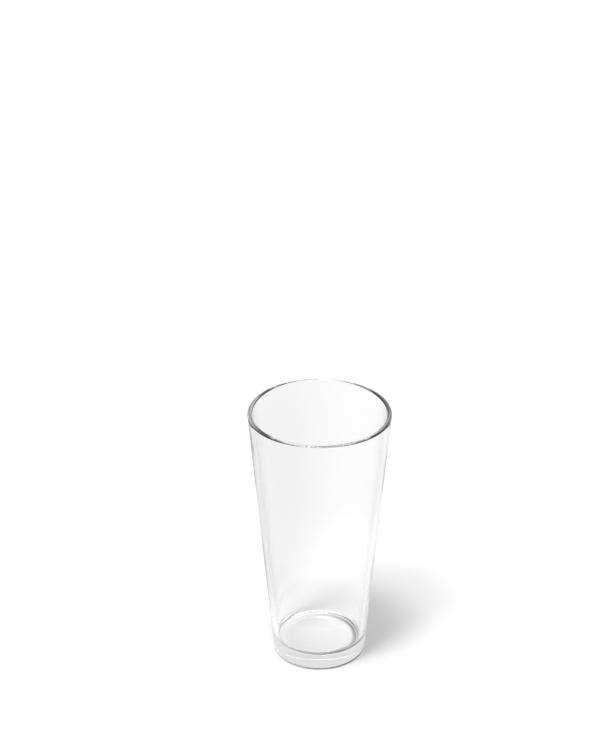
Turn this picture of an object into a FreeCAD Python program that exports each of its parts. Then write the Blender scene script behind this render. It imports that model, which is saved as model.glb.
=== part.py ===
import FreeCAD, Part
import os

import Sketcher
from FreeCAD import Vector

# A clear glass vase with a flared body: one piece of glass, a body of revolution about +Z.
# It stands at Z = 0, with the origin at the centre of its foot. Sizes are in millimetres.

DIMENSIONS = {
    "overall_height": 245.0,
    "mouth_diameter": 126.5,  # outside the wall at the top, before the rim is rounded
    "foot_diameter": 84.0,  # outside the wall at Z = 0, before the heel is rounded
    "mouth_wall": 4.2,
    "floor_wall": 5.0,  # the wall at the level of the inner floor
    "sham_thickness": 13.0,  # solid glass between the inner floor and the plane of the foot
    "floor_corner_radius": 8.0,
    "heel_radius": 1.5,
    "rim_radius": 1.9,
    "bearing_width": 4.5,  # the flat ring that the vase stands on
    "push_up_depth": 1.6,  # the hollow in the middle of the underside
}
RIM_SHARE_OF_WALL = 0.45  # the most of the mouth wall that each side of the rim rounds off
SAME_HEIGHT = 1e-6

# Sketcher's names for an element's points, and for the sketch's own origin and axes.
START, END, CENTRE = 1, 2, 3
ORIGIN = (-1, START)
RADIUS_AXIS, TURNING_AXIS = -1, -2


def make_sheet(doc):
    """The spreadsheet that drives the document: each row holds a name and a number with that alias."""
    sheet = doc.addObject("Spreadsheet::Sheet", "Dimensions")
    for row, (name, value) in enumerate(DIMENSIONS.items(), start=1):
        sheet.set(f"A{row}", name)
        sheet.set(f"B{row}", str(value))
        sheet.setAlias(f"B{row}", name)
    doc.recompute()
    return sheet


def draw_section(body, size):
    """Half of the vase's section on the body's XZ plane, from the turning axis outwards."""
    foot, mouth, height, floor = (
        size("foot_diameter") / 2,
        size("mouth_diameter") / 2,
        size("overall_height"),
        size("sham_thickness"),
    )
    hollow, depth = foot - size("heel_radius") - size("bearing_width"), size("push_up_depth")
    wall_at_floor = foot + (mouth - foot) * floor / height
    floor_edge = Vector(wall_at_floor - size("floor_wall"), floor)
    rim_inside = Vector(mouth - size("mouth_wall"), height)

    section = body.newObject("Sketcher::SketchObject", "GlassSection")
    plane = next(part for part in body.Origin.OriginFeatures if part.Role == "XZ_Plane")
    section.AttachmentSupport = (plane, [""])
    section.MapMode = "FlatFace"

    def line(start, end, construction=False):
        return section.addGeometry(Part.LineSegment(start, end), construction)

    bearing = line(Vector(hollow, 0), Vector(foot, 0))
    outside = line(Vector(foot, 0), Vector(mouth, height))
    rim = line(Vector(mouth, height), rim_inside)
    inside = line(rim_inside, floor_edge)
    inner_floor = line(floor_edge, Vector(0, floor))
    middle = line(Vector(0, floor), Vector(0, depth))
    dome_side = Vector(hollow / 2, depth * 3 / 4)
    push_up = section.addGeometry(Part.Arc(Vector(hollow, 0), dome_side, Vector(0, depth)), False)
    wall_gauge = line(floor_edge, Vector(wall_at_floor, floor), construction=True)

    def constrain(kind, *elements):
        section.addConstraint(Sketcher.Constraint(kind, *elements))

    outline = [bearing, outside, rim, inside, inner_floor, middle]
    for this, following in zip(outline, outline[1:]):
        constrain("Coincident", this, END, following, START)
    constrain("Coincident", middle, END, push_up, END)
    constrain("Coincident", push_up, START, bearing, START)
    constrain("Coincident", wall_gauge, START, inner_floor, START)
    constrain("PointOnObject", wall_gauge, END, outside)
    for level in (rim, inner_floor, wall_gauge):
        constrain("Horizontal", level)
    for end in (START, END):
        constrain("PointOnObject", bearing, end, RADIUS_AXIS)
        constrain("PointOnObject", middle, end, TURNING_AXIS)
    constrain("PointOnObject", push_up, CENTRE, TURNING_AXIS)

    def dimension(name, kind, start, end, formula):
        """A named dimension, drawn at its present size and then bound to the sheet."""
        along = 0 if kind == "DistanceX" else 1
        now = section.getPoint(*end)[along] - section.getPoint(*start)[along]
        number = section.addConstraint(Sketcher.Constraint(kind, *start, *end, now))
        section.renameConstraint(number, name)
        section.setExpression(f"Constraints.{name}", formula)

    sheet = "<<Dimensions>>"
    dimension("foot", "DistanceX", ORIGIN, (outside, START), f"{sheet}.foot_diameter / 2")
    dimension("mouth", "DistanceX", ORIGIN, (outside, END), f"{sheet}.mouth_diameter / 2")
    dimension("height", "DistanceY", ORIGIN, (outside, END), f"{sheet}.overall_height")
    dimension("mouth_wall", "DistanceX", (rim, END), (rim, START), f"{sheet}.mouth_wall")
    dimension("floor_wall", "DistanceX", (wall_gauge, START), (wall_gauge, END), f"{sheet}.floor_wall")
    dimension("sham", "DistanceY", ORIGIN, (inner_floor, START), f"{sheet}.sham_thickness")
    dimension("push_up", "DistanceY", ORIGIN, (middle, END), f"{sheet}.push_up_depth")
    dimension(
        "bearing",
        "DistanceX",
        (bearing, START),
        (bearing, END),
        f"{sheet}.heel_radius + {sheet}.bearing_width",
    )
    return section


def circles_at(shape, height):
    """The names of the circular edges of a shape at a height, the smallest circle first."""
    found = []
    for number, edge in enumerate(shape.Edges, start=1):
        if edge.Degenerated or not isinstance(edge.Curve, Part.Circle):
            continue
        if abs(edge.Curve.Center.z - height) < SAME_HEIGHT:
            found.append((edge.Curve.Radius, f"Edge{number}"))
    return [name for radius, name in sorted(found)]


def round_off(body, name, edges, formula):
    """Rounds edges of the body's last feature with a radius bound to the sheet."""
    before = body.Tip
    fillet = body.newObject("PartDesign::Fillet", name)
    fillet.Base = (before, edges)
    fillet.setExpression("Radius", formula)
    body.Document.recompute()
    return fillet


def make_vase_glass(doc, sheet):
    """The whole vase: its section turned about the axis, then its heel, floor corner and rim rounded."""
    body = doc.addObject("PartDesign::Body", "VaseGlass")
    body.Label = "vase_glass"
    body.Placement = FreeCAD.Placement()
    section = draw_section(body, sheet.get)

    turned = body.newObject("PartDesign::Revolution", "TurnedGlass")
    turned.Profile = section
    turned.ReferenceAxis = (section, ["V_Axis"])
    turned.Angle = 360
    section.Visibility = False
    doc.recompute()

    widest_at_foot = circles_at(body.Tip.Shape, 0)[-1]
    round_off(body, "Heel", [widest_at_foot], "<<Dimensions>>.heel_radius")

    floor_corner = circles_at(body.Tip.Shape, sheet.get("sham_thickness"))
    round_off(body, "FloorCorner", floor_corner, "<<Dimensions>>.floor_corner_radius")

    both_sides_of_rim = circles_at(body.Tip.Shape, sheet.get("overall_height"))
    widest_round = f"<<Dimensions>>.mouth_wall * {RIM_SHARE_OF_WALL}"
    rim_formula = f"min(<<Dimensions>>.rim_radius; {widest_round})"
    round_off(body, "FirePolishedRim", both_sides_of_rim, rim_formula)
    return body


def check(doc, sub_parts):
    """Stops the build if any object failed or a sub-part isn't one valid solid."""
    failed = [item.Name for item in doc.Objects if {"Invalid", "Error"} & set(item.State)]
    if failed:
        raise RuntimeError(f"these objects failed to compute: {failed}")
    for part in sub_parts:
        shape = part.Shape
        if shape.isNull() or not shape.isValid() or len(shape.Solids) != 1:
            raise RuntimeError(f"{part.Label} is not one valid solid")


def main():
    doc = FreeCAD.newDocument("FlaredGlassVase")
    sheet = make_sheet(doc)
    sub_parts = [make_vase_glass(doc, sheet)]
    doc.recompute()
    check(doc, sub_parts)

    os.makedirs("parts", exist_ok=True)
    for part in sub_parts:
        part.Shape.exportStep(f"parts/{part.Label}.step")
        box = part.Shape.optimalBoundingBox()
        print(
            f"{part.Label}: {part.Shape.Volume / 1000:.1f} cm3,"
            f" {box.XLength:.2f} x {box.YLength:.2f} x {box.ZLength:.2f} mm"
        )


main()
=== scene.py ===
import math

import bmesh
import bpy
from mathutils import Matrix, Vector


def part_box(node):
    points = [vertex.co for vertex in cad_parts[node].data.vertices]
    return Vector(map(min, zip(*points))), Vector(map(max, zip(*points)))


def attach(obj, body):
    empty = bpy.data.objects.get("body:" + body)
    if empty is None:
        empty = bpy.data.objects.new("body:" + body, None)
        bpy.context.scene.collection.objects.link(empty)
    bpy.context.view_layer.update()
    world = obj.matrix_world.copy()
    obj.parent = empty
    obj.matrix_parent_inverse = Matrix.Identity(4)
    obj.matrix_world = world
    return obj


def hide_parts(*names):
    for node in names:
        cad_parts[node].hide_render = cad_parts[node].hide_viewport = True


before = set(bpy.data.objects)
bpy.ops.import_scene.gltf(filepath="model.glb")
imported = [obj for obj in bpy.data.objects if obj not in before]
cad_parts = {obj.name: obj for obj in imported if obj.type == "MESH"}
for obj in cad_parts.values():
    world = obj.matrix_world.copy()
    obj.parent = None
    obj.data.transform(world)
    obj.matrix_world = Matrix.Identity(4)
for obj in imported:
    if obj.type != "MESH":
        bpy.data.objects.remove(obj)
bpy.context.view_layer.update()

# A clear glass vase with a flared body, standing empty on a white floor.
# Metres, +Z up, with the origin at the centre of the vase's foot.

NODE = "vase_glass"
SLOT = "clear_glass"
MM = 0.001

# ---------------------------------------------------------------- the vase's sizes, as in the CAD
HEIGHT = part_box(NODE)[1].z
MOUTH_RADIUS = 63.25 * MM
FOOT_RADIUS = 42 * MM
MOUTH_WALL = 4.2 * MM
FLOOR_WALL = 5.0 * MM
SHAM = 13 * MM  # the solid glass between the inner floor and the plane of the foot
FLOOR_CORNER_RADIUS = 8 * MM
HEEL_RADIUS = 1.5 * MM
RIM_RADIUS = 1.9 * MM
BEARING_WIDTH = 4.5 * MM  # the flat ring that the vase stands on
PUSH_UP_DEPTH = 1.6 * MM  # the hollow in the middle of the underside

# How finely the vase is divided, round it and along its outline.
SEGMENTS = 256
FLOOR_STEPS = 24
BEARING_STEPS = 4
EDGE_STEPS = 10
WALL_STEPS = 60
CORNER_STEPS = 16

# The slow waviness of the wall. It fades out over a distance from the rim, the heel and the floor corner.
INSIDE_WAVE = 0.07 * MM
OUTSIDE_WAVE = 0.01 * MM
WAVE_FADE = 25 * MM
OUTSIDE_TURN = 1.3  # the angle between the outside's waves and the inside's, in radians
# Each wave's share, how many there are round the vase, its radians per metre of height, and its start.
WAVES = ((0.45, 3, 38, 0.6), (0.35, 5, -61, 2.1), (0.20, 9, 97, 4.0))

# ---------------------------------------------------------------- the glass
GLASS_INDEX = 1.52
GLASS_TINT = (0.93, 0.94, 0.97, 1)
GLASS_DENSITY = 5.0

# The bearing ring is scuffed, and fades to polished glass between two heights. A fine noise between the two
# values of SCUFF_NOISE scales that roughness by a share between the two of SCUFF_SHARE.
RING_ROUGHNESS = 0.15
RING_EDGE = (0.05 * MM, 0.3 * MM)
SCUFF_SCALE = 900
SCUFF_DETAIL = 3
SCUFF_NOISE = (0.35, 0.65)
SCUFF_SHARE = (0.4, 1.6)

# A very fine ripple of the whole surface.
RIPPLE_HEIGHT = 0.016 * MM
RIPPLE_SCALE = 90
RIPPLE_DETAIL = 1

# The glass's colour carries a painted shade where it is seen at a glancing angle, in place of the dark
# edges that its surroundings would give. EDGE_FACING is on a scale from 0, facing the eye, to 1, seen edge
# on, and
# EDGE_SHADE is the painted brightness at its far end.
FACING_BLEND = 0.5
EDGE_FACING = (0.50, 1.0)
EDGE_SHADE = 0.65

# ---------------------------------------------------------------- the set
# The floor is matte. A glow that only the camera sees directly keeps it white and its shadow light.
FLOOR_HALF = 40
FLOOR_COLOUR = 0.8
FLOOR_GLOW = 0.35

# Rays through or off the glass see another glow of the floor: one level, changed in soft zones of painted
# light and shade. LEFT_SHADE is a painted shade to the left; RIGHT_GLOW and NEAR_GLOW are painted light
# that lightens the shadow to the right and near the vase. A zone's pair of sizes says where it starts and
# ends, from the vase's middle if it names no place.
GLASS_GLOW = 0.25
SIDE_EDGE = (-50 * MM, 50 * MM)  # along X, from the left side's zone to the right side's
LEFT_SHADE = 0.105
LEFT_FADE = (350 * MM, 750 * MM)
RIGHT_GLOW = 0.20
RIGHT_FADE = (100 * MM, 260 * MM)
NEAR_GLOW = 0.22
NEAR_FADE = (50 * MM, 130 * MM)

# Painted light and shade under the vase: there that glow stops and a brighter painted glow takes its place.
# Between the two is a painted contact shadow, a dark ring widest at the front right because each has its
# own middle.
CONTACT_SHADOW_PLACE = (3.5 * MM, 0, 0)
CONTACT_SHADOW_EDGE = (34 * MM, 42 * MM)
FOOT_GLOW_PLACE = (-4 * MM, 5 * MM, 0)
FOOT_GLOW = 0.54
FOOT_GLOW_EDGE = (32 * MM, 41 * MM)

# The sky lights the set at SKY_LIGHT and is white to the camera. Rays through or off the glass see it fall
# from SKY_LOW to SKY_HIGH, with a bright panel overhead. Edges are sines of the angle above the horizon.
SKY_LIGHT = 0.22
SKY_LOW = 0.975
SKY_HIGH = 0.75
SKY_EDGE = (0.05, 0.35)
SKY_PANEL = 0.6
PANEL_EDGE = (0.72, 0.9)

# Each lamp's name and strength, the way its shadows fall in degrees from +X, their length as a share of the
# height that casts them, and the angle that the lamp fills, in degrees, which softens them.
LAMPS = (("key", 1.00, 48, 0.43, 13), ("top", 1.30, 56, 0.175, 13))

# The photo's camera, from the vase's outline in the photo.
CAMERA_LENS = 98.1
CAMERA_PLACE = (0, -1.563, 1.104)
CAMERA_AIM = (-0.0106, 0, 0.2805)

BOUNCES = 48  # enough for the many inner reflections of the thick base


# ---------------------------------------------------------------- the vase's shape
def rounded(before, corner, after, radius, steps):
    """Points of the arc that rounds a corner, from the side of before to the side of after."""
    to_before, to_after = (before - corner).normalized(), (after - corner).normalized()
    half = to_before.angle(to_after) / 2
    centre = corner + (to_before + to_after).normalized() * (radius / math.sin(half))
    tangent = radius / math.tan(half)
    start, end = corner + to_before * tangent - centre, corner + to_after * tangent - centre
    turn = start.angle(end)
    points = []
    for step in range(steps + 1):
        share = step / steps
        a, b = math.sin((1 - share) * turn), math.sin(share * turn)
        points.append(centre + (start * a + end * b) / math.sin(turn))
    return points


def straight(start, end, steps):
    """Evenly spaced points between two points, without the ends."""
    return [start.lerp(end, step / steps) for step in range(1, steps)]


def glass_outline():
    """Half of the vase's section as (radius, height) points: the underside's middle, the outline from there
    round the foot, the wall and the rim to the inner floor, and the inner floor's middle."""
    slope = (MOUTH_RADIUS - FOOT_RADIUS) / HEIGHT
    hollow_radius = FOOT_RADIUS - HEEL_RADIUS - BEARING_WIDTH
    dome = (hollow_radius**2 + PUSH_UP_DEPTH**2) / (2 * PUSH_UP_DEPTH)
    underside = Vector((0, PUSH_UP_DEPTH))
    bearing = Vector((hollow_radius, 0))
    foot = Vector((FOOT_RADIUS, 0))
    rim_outside = Vector((MOUTH_RADIUS, HEIGHT))
    rim_inside = Vector((MOUTH_RADIUS - MOUTH_WALL, HEIGHT))
    floor_edge = Vector((FOOT_RADIUS + slope * SHAM - FLOOR_WALL, SHAM))
    floor_middle = Vector((0, SHAM))

    outline = []
    for step in range(1, FLOOR_STEPS):
        radius = hollow_radius * step / FLOOR_STEPS
        outline.append(Vector((radius, PUSH_UP_DEPTH - dome + math.sqrt(dome**2 - radius**2))))
    outline.append(bearing)
    heel = rounded(bearing, foot, rim_outside, HEEL_RADIUS, EDGE_STEPS)
    rim_out = rounded(foot, rim_outside, rim_inside, RIM_RADIUS, EDGE_STEPS)
    rim_in = rounded(rim_outside, rim_inside, floor_edge, RIM_RADIUS, EDGE_STEPS)
    corner = rounded(rim_inside, floor_edge, floor_middle, FLOOR_CORNER_RADIUS, CORNER_STEPS)
    outline += straight(bearing, heel[0], BEARING_STEPS) + heel
    outline += straight(heel[-1], rim_out[0], WALL_STEPS) + rim_out
    outline += rim_in + straight(rim_in[-1], corner[0], WALL_STEPS) + corner
    outline += straight(corner[-1], floor_middle, FLOOR_STEPS)
    return underside, outline, floor_middle


def wave(angle, height):
    """The waviness of the glass round and up the vase, between -1 and 1."""
    return sum(
        share * math.sin(around * angle + upwards * height + start)
        for share, around, upwards, start in WAVES
    )


def wave_depth(height, inside):
    """How far the wall waves at a height, on one side of the glass: less and less near its ends."""
    lowest = SHAM + FLOOR_CORNER_RADIUS if inside else HEEL_RADIUS
    room = min(height - lowest, HEIGHT - RIM_RADIUS - height)
    share = max(0, min(1, room / WAVE_FADE))
    return (INSIDE_WAVE if inside else OUTSIDE_WAVE) * share * share * (3 - 2 * share)


def wavy_radius(point, angle, inside):
    """The radius of a point of the outline at an angle. The outside only waves inwards, to stay in the
    CAD's box."""
    depth = wave_depth(point.y, inside)
    if inside:
        return point.x + depth * wave(angle, point.y)
    return point.x + depth * (wave(angle + OUTSIDE_TURN, point.y) - 1)


def turn_outline(name, first, outline, last):
    """A closed mesh of the outline turned about Z, with one point on the axis at each end."""
    mesh = bmesh.new()
    # The outline goes up the outside, so what comes after its highest point is inside the vase.
    top = max(range(len(outline)), key=lambda number: outline[number].y)
    rings = []
    for number, point in enumerate(outline):
        ring = []
        for segment in range(SEGMENTS):
            angle = 2 * math.pi * segment / SEGMENTS
            radius = wavy_radius(point, angle, inside=number > top)
            ring.append(mesh.verts.new((radius * math.cos(angle), radius * math.sin(angle), point.y)))
        rings.append(ring)
    ends = [mesh.verts.new((0, 0, first.y)), mesh.verts.new((0, 0, last.y))]
    for segment in range(SEGMENTS):
        following = (segment + 1) % SEGMENTS
        mesh.faces.new((ends[0], rings[0][following], rings[0][segment]))
        for low, high in zip(rings, rings[1:]):
            mesh.faces.new((low[segment], low[following], high[following], high[segment]))
        mesh.faces.new((ends[1], rings[-1][segment], rings[-1][following]))
    bmesh.ops.recalc_face_normals(mesh, faces=mesh.faces)
    data = bpy.data.meshes.new(name)
    mesh.to_mesh(data)
    mesh.free()
    data.polygons.foreach_set("use_smooth", [True] * len(data.polygons))
    piece = bpy.data.objects.new(name, data)
    bpy.context.scene.collection.objects.link(piece)
    return piece


# ---------------------------------------------------------------- shader nodes
def maths(tree, operation, first, second):
    """A socket with the result of a Math node on two values, each a socket or a number."""
    node = tree.nodes.new("ShaderNodeMath")
    node.operation = operation
    for socket, value in zip(node.inputs, (first, second)):
        if isinstance(value, (int, float)):
            socket.default_value = value
        else:
            tree.links.new(value, socket)
    return node.outputs[0]


def span(tree, value, before, after, way="SMOOTHSTEP"):
    """A socket that goes from one value to another as value crosses a span."""
    node = tree.nodes.new("ShaderNodeMapRange")
    node.interpolation_type = way
    tree.links.new(value, node.inputs["Value"])
    node.inputs["From Min"].default_value, node.inputs["From Max"].default_value = before
    node.inputs["To Min"].default_value, node.inputs["To Max"].default_value = after
    return node.outputs["Result"]


def along(tree, position, axis):
    """A socket with one coordinate of a position."""
    node = tree.nodes.new("ShaderNodeSeparateXYZ")
    tree.links.new(position, node.inputs[0])
    return node.outputs[axis]


def distance_from(tree, position, place):
    """A socket with the distance of a position from a place."""
    node = tree.nodes.new("ShaderNodeVectorMath")
    node.operation = "DISTANCE"
    tree.links.new(position, node.inputs[0])
    node.inputs[1].default_value = place
    return node.outputs["Value"]


def noise(tree, position, scale, detail):
    """A socket with a noise at a position."""
    node = tree.nodes.new("ShaderNodeTexNoise")
    tree.links.new(position, node.inputs["Vector"])
    node.inputs["Scale"].default_value = scale
    node.inputs["Detail"].default_value = detail
    return node.outputs[0]


# ---------------------------------------------------------------- the vase's glass
def ring_roughness(tree, position):
    """A socket with the roughness of the scuffed bearing ring, and 0 everywhere else."""
    ground = span(tree, along(tree, position, "Z"), RING_EDGE, (RING_ROUGHNESS, 0), "LINEAR")
    worn = span(tree, noise(tree, position, SCUFF_SCALE, SCUFF_DETAIL), SCUFF_NOISE, SCUFF_SHARE)
    return maths(tree, "MULTIPLY", ground, worn)


def ripple(tree, position):
    """A socket with the normal of the finely rippled surface."""
    bump = tree.nodes.new("ShaderNodeBump")
    bump.inputs["Distance"].default_value = RIPPLE_HEIGHT
    tree.links.new(noise(tree, position, RIPPLE_SCALE, RIPPLE_DETAIL), bump.inputs["Height"])
    return bump.outputs["Normal"]


def glancing_shade(tree):
    """A socket with the painted shade of the glass's colour at the angle that it is seen from."""
    facing = tree.nodes.new("ShaderNodeLayerWeight")
    facing.inputs["Blend"].default_value = FACING_BLEND
    return span(tree, facing.outputs["Facing"], EDGE_FACING, (1, EDGE_SHADE))


def glass_material():
    """Clear glass with a faint cool tint through its thickness, and a painted shade towards its outline."""
    material = bpy.data.materials.new(SLOT)
    material.use_nodes = True
    tree = material.node_tree
    shader = tree.nodes["Principled BSDF"]
    shader.inputs["Base Color"].default_value = (1, 1, 1, 1)
    shader.inputs["Transmission Weight"].default_value = 1
    shader.inputs["Roughness"].default_value = 0
    shader.inputs["IOR"].default_value = GLASS_INDEX
    position = tree.nodes.new("ShaderNodeTexCoord").outputs["Object"]
    tree.links.new(ring_roughness(tree, position), shader.inputs["Roughness"])
    tree.links.new(ripple(tree, position), shader.inputs["Normal"])
    # Painted shade: the glass's colour darkens towards its outline.
    tree.links.new(glancing_shade(tree), shader.inputs["Base Color"])
    tint = tree.nodes.new("ShaderNodeVolumeAbsorption")
    tint.inputs["Color"].default_value = GLASS_TINT
    tint.inputs["Density"].default_value = GLASS_DENSITY
    tree.links.new(tint.outputs[0], tree.nodes["Material Output"].inputs["Volume"])
    return material


# The vase is one piece.
vase = turn_outline("vase_glass_turned", *glass_outline())
vase.data.materials.append(glass_material())
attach(vase, "root")
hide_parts(NODE)


# ---------------------------------------------------------------- floor, sky, lamps and camera
def sight(tree):
    """Two sockets: 1 for what the camera sees directly, and 1 for what it sees in or through the glass."""
    path = tree.nodes.new("ShaderNodeLightPath")
    glass = maths(tree, "MAXIMUM", path.outputs["Is Glossy Ray"], path.outputs["Is Transmission Ray"])
    unscattered = maths(tree, "LESS_THAN", path.outputs["Diffuse Depth"], 1)
    return path.outputs["Is Camera Ray"], maths(tree, "MULTIPLY", glass, unscattered)


def floor_in_glass(tree):
    """A socket with the glow of the floor that is seen in or through the glass, with its painted light and
    shade.
    """
    position = tree.nodes.new("ShaderNodeNewGeometry").outputs["Position"]
    across = along(tree, position, "X")
    distance = distance_from(tree, position, (0, 0, 0))
    # Painted shade to the left, and painted light to the right and near the vase.
    left = span(tree, across, SIDE_EDGE, (-LEFT_SHADE, 0))
    left = maths(tree, "MULTIPLY", left, span(tree, distance, LEFT_FADE, (1, 0)))
    right = span(tree, across, SIDE_EDGE, (0, RIGHT_GLOW))
    right = maths(tree, "MULTIPLY", right, span(tree, distance, RIGHT_FADE, (1, 0)))
    near = span(tree, distance, NEAR_FADE, (NEAR_GLOW, 0))
    level = maths(tree, "ADD", maths(tree, "ADD", left, right), near)
    level = maths(tree, "ADD", level, GLASS_GLOW)

    # Painted contact shadow: the glow stops in a disc under the vase, moved to the right.
    from_contact_shadow = distance_from(tree, position, CONTACT_SHADOW_PLACE)
    level = maths(tree, "MULTIPLY", level, span(tree, from_contact_shadow, CONTACT_SHADOW_EDGE, (0, 1)))
    # Painted light under the foot: a brighter disc, moved left and back.
    from_foot = distance_from(tree, position, FOOT_GLOW_PLACE)
    return maths(tree, "ADD", level, span(tree, from_foot, FOOT_GLOW_EDGE, (FOOT_GLOW, 0)))


def floor_material():
    """Matte white, with one glow for the camera and another, with painted light and shade, for what is seen
    in or through the glass.
    """
    material = bpy.data.materials.new("floor_white")
    material.use_nodes = True
    tree = material.node_tree
    tree.nodes.remove(tree.nodes["Principled BSDF"])
    matte = tree.nodes.new("ShaderNodeBsdfDiffuse")
    matte.inputs["Color"].default_value = (FLOOR_COLOUR, FLOOR_COLOUR, FLOOR_COLOUR, 1)
    direct, in_glass = sight(tree)
    direct = maths(tree, "MULTIPLY", direct, FLOOR_GLOW)
    in_glass = maths(tree, "MULTIPLY", in_glass, floor_in_glass(tree))
    glow = tree.nodes.new("ShaderNodeEmission")
    tree.links.new(maths(tree, "ADD", direct, in_glass), glow.inputs["Strength"])
    both = tree.nodes.new("ShaderNodeAddShader")
    tree.links.new(matte.outputs[0], both.inputs[0])
    tree.links.new(glow.outputs[0], both.inputs[1])
    tree.links.new(both.outputs[0], tree.nodes["Material Output"].inputs["Surface"])
    return material


def make_floor():
    corners = [(x * FLOOR_HALF, y * FLOOR_HALF, 0) for x, y in ((-1, -1), (1, -1), (1, 1), (-1, 1))]
    mesh = bpy.data.meshes.new("floor")
    mesh.from_pydata(corners, [], [(0, 1, 2, 3)])
    mesh.materials.append(floor_material())
    floor = bpy.data.objects.new("floor", mesh)
    bpy.context.scene.collection.objects.link(floor)


def make_world():
    world = bpy.data.worlds.new("studio")
    bpy.context.scene.world = world
    world.use_nodes = True
    tree = world.node_tree
    direct, in_glass = sight(tree)
    up = along(tree, tree.nodes.new("ShaderNodeTexCoord").outputs["Generated"], "Z")
    sky = span(tree, up, SKY_EDGE, (SKY_LOW - SKY_LIGHT, SKY_HIGH - SKY_LIGHT))
    sky = maths(tree, "ADD", sky, span(tree, up, PANEL_EDGE, (0, SKY_PANEL)))
    in_glass = maths(tree, "MULTIPLY", in_glass, sky)
    direct = maths(tree, "MULTIPLY", direct, 1 - SKY_LIGHT)
    strength = maths(tree, "ADD", maths(tree, "ADD", in_glass, direct), SKY_LIGHT)
    background = tree.nodes["Background"]
    background.inputs["Color"].default_value = (1, 1, 1, 1)
    tree.links.new(strength, background.inputs["Strength"])


def turn_towards(item, way):
    """Points a lamp or a camera along a direction, with its own Y axis up."""
    item.rotation_mode = "QUATERNION"
    item.rotation_quaternion = way.to_track_quat("-Z", "Y")


def make_lamps():
    for name, strength, bearing, reach, spread in LAMPS:
        data = bpy.data.lights.new(name, "SUN")
        data.energy = strength
        data.angle = math.radians(spread)
        lamp = bpy.data.objects.new(name, data)
        bpy.context.scene.collection.objects.link(lamp)
        angle = math.radians(bearing)
        turn_towards(lamp, Vector((reach * math.cos(angle), reach * math.sin(angle), -1)))


def make_camera():
    data = bpy.data.cameras.new("camera")
    data.lens = CAMERA_LENS
    camera = bpy.data.objects.new("camera", data)
    bpy.context.scene.collection.objects.link(camera)
    camera.location = CAMERA_PLACE
    turn_towards(camera, Vector(CAMERA_AIM) - camera.location)
    bpy.context.scene.camera = camera


make_floor()
make_world()
make_lamps()
make_camera()
bpy.context.scene.view_settings.view_transform = "Standard"
bpy.context.scene.cycles.max_bounces = BOUNCES
bpy.context.scene.cycles.transmission_bounces = BOUNCES
bpy.context.scene.cycles.glossy_bounces = BOUNCES
